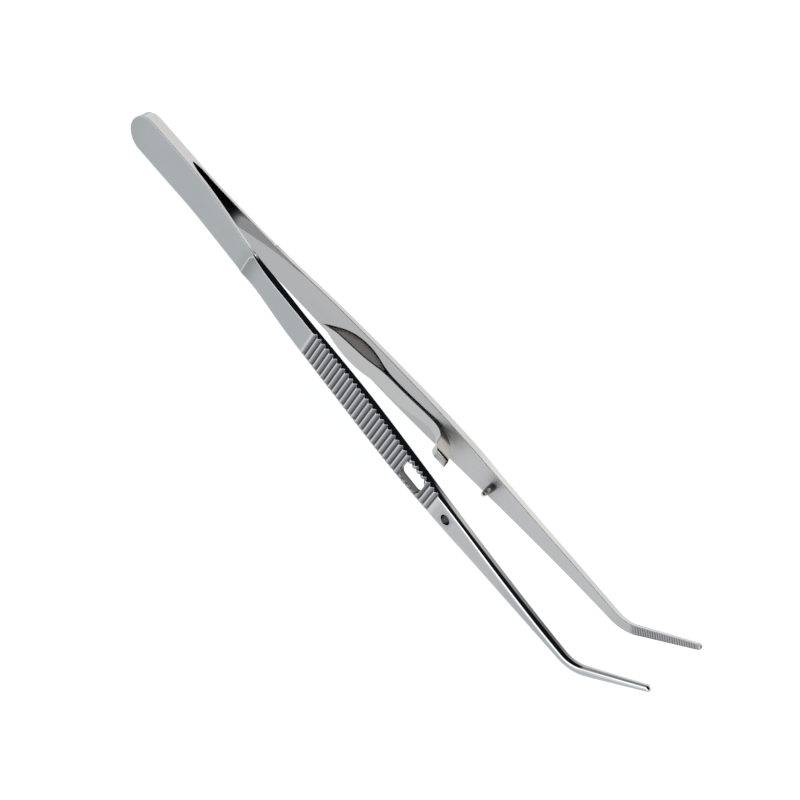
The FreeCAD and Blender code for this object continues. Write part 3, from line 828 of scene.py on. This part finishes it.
# Which columns of a section lie on the strip's upper edge, and which on its back.
EDGE_COLUMNS = [2, 3, 4, 5]
BACK_COLUMNS = [8, 9, 10, 11]
RIM_STEPS = 4
BOW_TOP = 12.4
BOW = Curve(
    (2.4, 0.0), (4.2, 0.14), (6.7, 0.75), (9.3, 1.22), (BOW_TOP, 1.38), (15.5, 1.06),
    (18.1, 0.44), (20.4, 0.09), (23.0, 0.02), (28.0, 0.02), (34.0, 0.05),
)
ROOT_END = 8.0
ROOT_THICK = Curve((2.4, 0.03), (3.0, 0.16), (4.1, 0.40), (5.6, STRIP_THICK), (ROOT_END, STRIP_THICK))
STRIP_AT = (
    2.4, 2.8, 3.4, 4.3, 5.6, 7.2, 9.0, 10.8, 12.6, 14.4, 16.2, 18.0, 19.8, 21.6, 23.6, 26.0, 28.6, 31.2,
)
STRIP_HIGH = Curve(
    (2.4, -3.15), (3.2, -2.5), (4.6, -1.6), (6.4, -0.6), (8.4, 0.15), (20.0, 0.85), (CATCH_FROM, 1.45),
)
STRIP_LOW, CATCH_LOW, CATCH_HIGH = -3.3, -0.95, 1.45
TAPER_FROM = 25.4
NOSE_LENGTH, NOSE_PINCH = 0.8, 0.30
# The turned-up catch: the free side and the back, each as a place along the arm and a height off it.
CATCH = [
    (CATCH_FROM, 0.58, 33.8, 0.08), (34.8, 0.70, 35.4, 0.14), (35.9, 1.06, 37.2, 0.46),
    (36.8, 1.72, 38.8, 1.12), (37.35, 2.6, 40.1, 2.1), (37.65, 3.6, 41.0, 3.25),
    (38.15, 4.5, 41.7, 4.35), (39.0, 5.2, 42.3, 5.4),
]


def build_spring(material):
    """The lock spring: one strip from its root on the pin arm, over the bow and on to the catch."""
    strip = [(u, float(BOW(u) + ROOT_THICK(min(u, ROOT_END))), u, float(BOW(u))) for u in STRIP_AT]
    rows = np.array(strip + CATCH)
    middle = (rows[:, :2] + rows[:, 2:]) / 2
    t = np.concatenate([[0], np.cumsum(np.linalg.norm(np.diff(middle, axis=0), axis=1))])
    sides = [Curve(*zip(t, rows[:, k])) for k in range(4)]
    strip_run = t[len(STRIP_AT) - 1]
    every = np.concatenate([
        np.arange(0, 6, 0.25), np.arange(6, strip_run, 0.55), np.arange(strip_run, t[-1], 0.2), [t[-1]],
    ])
    free_u, free_v, back_u, back_v = [side(every) for side in sides]
    mean_u = (free_u + back_u) / 2
    tapered = np.clip((mean_u - TAPER_FROM) / (CATCH_FROM - TAPER_FROM), 0, 1)
    low = STRIP_LOW + (CATCH_LOW - STRIP_LOW) * tapered
    high = np.where(mean_u < CATCH_FROM, STRIP_HIGH(mean_u), CATCH_HIGH)
    nose = np.clip((every - t[-1] + NOSE_LENGTH) / NOSE_LENGTH, 0, 1)
    pinch = NOSE_PINCH * (1 - np.sqrt(1 - 0.98 * nose ** 2))
    low, high = low + pinch, np.maximum(high - pinch, low + 0.05)

    def on_arm(u, v):
        x = STRIP_X + u + v * STRIP_LEAN
        return np.column_stack([x, inner_face(np.minimum(STRIP_X + u, TOOTH_X - 2)) - v, np.zeros_like(u)])

    free, back = on_arm(free_u, free_v), on_arm(back_u, back_v)
    angles = np.concatenate([q * math.pi / 2 + np.linspace(0, math.pi / 2, 5) for q in range(4)])
    corner = np.repeat([(1, 1), (-1, 1), (-1, -1), (1, -1)], 5, axis=0)
    grid, tangents = [], []
    for u, f, b, z_low, z_high in zip(mean_u, free, back, low, high):
        half = np.linalg.norm(f - b) / 2
        tall = (z_high - z_low) / 2
        across_strip = (f - b) / (2 * half)
        fillet = min(0.17 if u < CATCH[0][2] else 0.07, half * 0.7, tall * 0.9)
        centre = (f + b) / 2 + [0, 0, (z_low + z_high) / 2]
        a = corner[:, 0] * (half - fillet) + fillet * np.cos(angles)
        c = corner[:, 1] * (tall - fillet) + fillet * np.sin(angles)
        grid.append(centre + a[:, None] * across_strip + c[:, None] * [0, 0, 1])
        tangents.append(-np.sin(angles)[:, None] * across_strip + np.cos(angles)[:, None] * [0, 0, 1])
    grid = np.array(grid)
    normals = skin_normals(grid, np.array(tangents), every)
    inward = np.sign(np.sum(normals * (grid - grid.mean(axis=1, keepdims=True)), axis=(1, 2)))
    normals = normals * inward[:, None, None]
    ahead = unit((grid[-1] - grid[-2]).mean(axis=0))
    rim = 0.12
    last, last_normals = grid[-1], normals[-1]
    for angle in math.pi / 2 * share_of(RIM_STEPS):
        shrunk = last - last_normals * rim * (1 - math.cos(angle)) + ahead * rim * math.sin(angle)
        grid = np.concatenate([grid, shrunk[None]])
        rounded = unit(last_normals * math.cos(angle) + ahead * math.sin(angle))
        normals = np.concatenate([normals, rounded[None]])
    count = grid.shape[1]
    edge = np.zeros(grid.shape[:2])
    on_strip = np.where(mean_u < CATCH[0][2])[0][:, None]
    edge[on_strip, EDGE_COLUMNS] = 2
    edge[-RIM_STEPS:] = 1
    # Painted shade on the catch's upper edge.
    shaded = np.zeros(grid.shape[:2])
    shaded[len(on_strip):, EDGE_COLUMNS] = 0.6
    # Painted light along the strip's back.
    back = np.zeros(grid.shape[:2])
    back[:, BACK_COLUMNS] = 1
    top = (len(grid) - 1) * count
    faces = grid_faces(len(grid), count) + [tuple(range(top, top + count))]
    points = grid.reshape(-1, 3)
    piece = make_piece(
        "lock_spring", points, faces, normals.reshape(-1, 3), material, ["lock_spring_bow", "lock_catch"],
        "spring_steel", dull=shaded.ravel(), satin=edge.ravel(), worn=back.ravel(),
    )
    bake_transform(piece)


# ---------------------------------------------------------------- materials

def node(tree, kind, **values):
    made = tree.nodes.new(kind)
    for key, value in values.items():
        setattr(made, key, value)
    return made


def noise(tree, coordinates, scale, detail, stretch=(1, 1, 1)):
    mapping = node(tree, "ShaderNodeMapping")
    mapping.inputs["Scale"].default_value = stretch
    tree.links.new(coordinates, mapping.inputs["Vector"])
    texture = node(tree, "ShaderNodeTexNoise")
    texture.inputs["Scale"].default_value = scale
    texture.inputs["Detail"].default_value = detail
    tree.links.new(mapping.outputs["Vector"], texture.inputs["Vector"])
    return texture.outputs["Fac"]


def ramp(tree, value, low, high, low_to, high_to):
    made = node(tree, "ShaderNodeMapRange")
    for name, number in (("From Min", low), ("From Max", high), ("To Min", low_to), ("To Max", high_to)):
        made.inputs[name].default_value = number
    tree.links.new(value, made.inputs["Value"])
    return made.outputs["Result"]


def combine(tree, a, b, operation="ADD"):
    made = node(tree, "ShaderNodeMath", operation=operation)
    tree.links.new(a, made.inputs[0])
    tree.links.new(b, made.inputs[1])
    return made.outputs[0]


def blend_colour(tree, share, a, b):
    """A mix of two colours, each a tuple or another node's output."""
    made = node(tree, "ShaderNodeMix", data_type="RGBA")
    tree.links.new(share, made.inputs[0])
    for value, socket in ((a, made.inputs[6]), (b, made.inputs[7])):
        if isinstance(value, tuple):
            socket.default_value = (*value, 1)
        else:
            tree.links.new(value, socket)
    return made.outputs[2]


def steel(name, colour, rough, hairlines=0.05, relief=0.02):
    """Polished steel: faint clouds and hairlines, painted shade in hollows, which also get duller, and
    painted highlights on edges.
    """
    material = bpy.data.materials.new(name)
    material.use_nodes = True
    tree = material.node_tree
    shader = tree.nodes["Principled BSDF"]
    shader.inputs["Metallic"].default_value = 1.0
    coordinates = node(tree, "ShaderNodeTexCoord").outputs["Object"]
    cloud = noise(tree, coordinates, 140.0, 3.0)
    hair = noise(tree, coordinates, 900.0, 4.0, (0.12, 1.6, 1.6))
    cross = noise(tree, coordinates, 2400.0, 2.0, (1.4, 0.08, 0.08))
    dull = node(tree, "ShaderNodeAttribute", attribute_name="dull").outputs["Fac"]
    worn = node(tree, "ShaderNodeAttribute", attribute_name="worn").outputs["Fac"]
    satin = node(tree, "ShaderNodeAttribute", attribute_name="satin").outputs["Fac"]
    roughness = ramp(tree, cloud, 0.3, 0.7, rough * 0.7, rough * 1.4)
    for extra in (
        ramp(tree, hair, 0.5, 0.8, 0.0, hairlines),
        ramp(tree, dull, 0.0, 1.0, 0.0, 0.16),
        ramp(tree, worn, 0.2, 1.0, 0.0, 0.06),
        ramp(tree, satin, 0.2, 1.0, 0.0, 0.18),
        ramp(tree, satin, 1.0, 2.0, 0.0, 0.35),
    ):
        roughness = combine(tree, roughness, extra)
    tree.links.new(roughness, shader.inputs["Roughness"])
    cool = tuple(c * 0.965 for c in colour)
    # The colours of painted highlight, painted shade and painted deep shade.
    painted_highlight_colour = (colour[0] * 1.52, colour[1] * 1.44, colour[2] * 1.38)
    painted_shade_colour = tuple(c * 0.42 for c in colour)
    painted_deep_shade_colour = (0.02, 0.018, 0.017)
    brushed = (0.430, 0.432, 0.434)
    shade = blend_colour(tree, ramp(tree, cloud, 0.3, 0.7, 0.0, 1.0), cool, colour)
    shade = blend_colour(tree, ramp(tree, satin, 0.0, 0.2, 0.0, 1.0), shade, brushed)
    # Painted shade, then painted deep shade, then painted highlights over the steel's own colour.
    shade = blend_colour(tree, ramp(tree, dull, 0.0, 1.0, 0.0, 1.0), shade, painted_shade_colour)
    shade = blend_colour(tree, ramp(tree, dull, 1.0, 2.0, 0.0, 1.0), shade, painted_deep_shade_colour)
    shade = blend_colour(tree, ramp(tree, worn, 0.0, 1.0, 0.0, 1.0), shade, painted_highlight_colour)
    tree.links.new(shade, shader.inputs["Base Color"])
    bump = node(tree, "ShaderNodeBump")
    bump.inputs["Strength"].default_value = relief
    bump.inputs["Distance"].default_value = 0.00001
    tree.links.new(combine(tree, hair, cross), bump.inputs["Height"])
    tree.links.new(bump.outputs["Normal"], shader.inputs["Normal"])
    return material


# ---------------------------------------------------------------- the stage

def build_floor():
    """A pale table that glows a little more away from the tool, so that the tool throws no shadow on it."""
    bpy.ops.mesh.primitive_plane_add(size=6.0, location=(0, 0, -0.0001))
    floor = bpy.context.object
    floor.name = "floor"
    material = bpy.data.materials.new("pale_floor")
    material.use_nodes = True
    tree = material.node_tree
    shader = tree.nodes["Principled BSDF"]
    shader.inputs["Base Color"].default_value = (0.2, 0.2, 0.2, 1)
    shader.inputs["Roughness"].default_value = 0.9
    shader.inputs["Specular IOR Level"].default_value = 0.0
    shader.inputs["Emission Color"].default_value = (0.97, 0.985, 1.0, 1)
    parts = node(tree, "ShaderNodeSeparateXYZ")
    tree.links.new(node(tree, "ShaderNodeTexCoord").outputs["Object"], parts.inputs["Vector"])
    near = ramp(tree, parts.outputs["Y"], -0.02, -0.11, 1.0, 3.0)
    beyond = ramp(tree, parts.outputs["Y"], 0.02, 0.11, 0.0, 0.6)
    tree.links.new(combine(tree, near, beyond), shader.inputs["Emission Strength"])
    floor.data.materials.append(material)


def build_world():
    """A soft room: a warm bright wall beyond the tool, a white band behind the camera, and dark overhead."""
    world = bpy.data.worlds.new("studio")
    bpy.context.scene.world = world
    world.use_nodes = True
    tree = world.node_tree
    parts = node(tree, "ShaderNodeSeparateXYZ")
    tree.links.new(node(tree, "ShaderNodeTexCoord").outputs["Generated"], parts.inputs["Vector"])
    toward, height = parts.outputs["Y"], parts.outputs["Z"]
    far = ramp(tree, toward, 0.28, 0.62, 0.0, 1.0)
    low = ramp(tree, height, 0.10, 0.34, 1.0, 0.0)
    near = ramp(tree, toward, -0.55, -0.85, 0.0, 1.0)
    colour = blend_colour(tree, far, (0.012, 0.014, 0.018), (1.62, 1.53, 1.45))
    not_far = ramp(tree, far, 0.0, 1.0, 1.0, 0.0)
    colour = blend_colour(tree, combine(tree, low, not_far, "MULTIPLY"), colour, (1.0, 0.94, 0.90))
    colour = blend_colour(tree, combine(tree, low, near, "MULTIPLY"), colour, (3.2, 3.2, 3.2))
    tree.links.new(colour, tree.nodes["Background"].inputs["Color"])


def build_softbox():
    """The studio light, over the far side."""
    light = bpy.data.lights.new("softbox", "AREA")
    light.size = 1.2
    light.energy = 0.7
    lamp = bpy.data.objects.new("softbox", light)
    lamp.location = (0.1, 0.9, 0.8)
    lamp.rotation_mode = "QUATERNION"
    lamp.rotation_quaternion = (-lamp.location).to_track_quat("-Z", "Y")
    lamp.visible_glossy = False
    bpy.context.scene.collection.objects.link(lamp)


def build_camera():
    """The point of view: above the slotted arm, rolled so that the tool lies across the frame."""
    lens = bpy.data.cameras.new("camera")
    lens.lens = 119.4
    lens.sensor_width = 36.0
    lens.clip_start = 0.01
    camera = bpy.data.objects.new("camera", lens)
    right = Vector((0.648619, 0.644219, 0.405309))
    up = Vector((-0.739806, 0.408513, 0.534606))
    camera.matrix_world = Matrix((right, up, right.cross(up))).transposed().to_4x4()
    camera.location = to_row([178.41, -349.13, 404.44])
    bpy.context.scene.collection.objects.link(camera)
    bpy.context.scene.camera = camera


# ---------------------------------------------------------------- everything together

arm_steel = steel("polished_steel", (0.395, 0.415, 0.428), 0.06)
weld_steel = steel("weld_steel", (0.390, 0.410, 0.422), 0.08)
pin_steel = steel("pin_steel", (0.39, 0.385, 0.38), 0.10)
spring_steel = steel("spring_steel", (0.505, 0.50, 0.495), 0.08, hairlines=0.08, relief=0.04)

build_arm("slotted_arm", SLOT, OPENINGS, ["slot_arm", "slot_arm_heel"], arm_steel)
build_arm("pinned_arm", PIN, (), ["pin_arm", "pin_arm_heel"], arm_steel)
build_weld(weld_steel)
build_pin(pin_steel)
build_spring(spring_steel)

build_floor()
build_world()
build_softbox()
build_camera()
bpy.context.scene.view_settings.view_transform = "Standard"
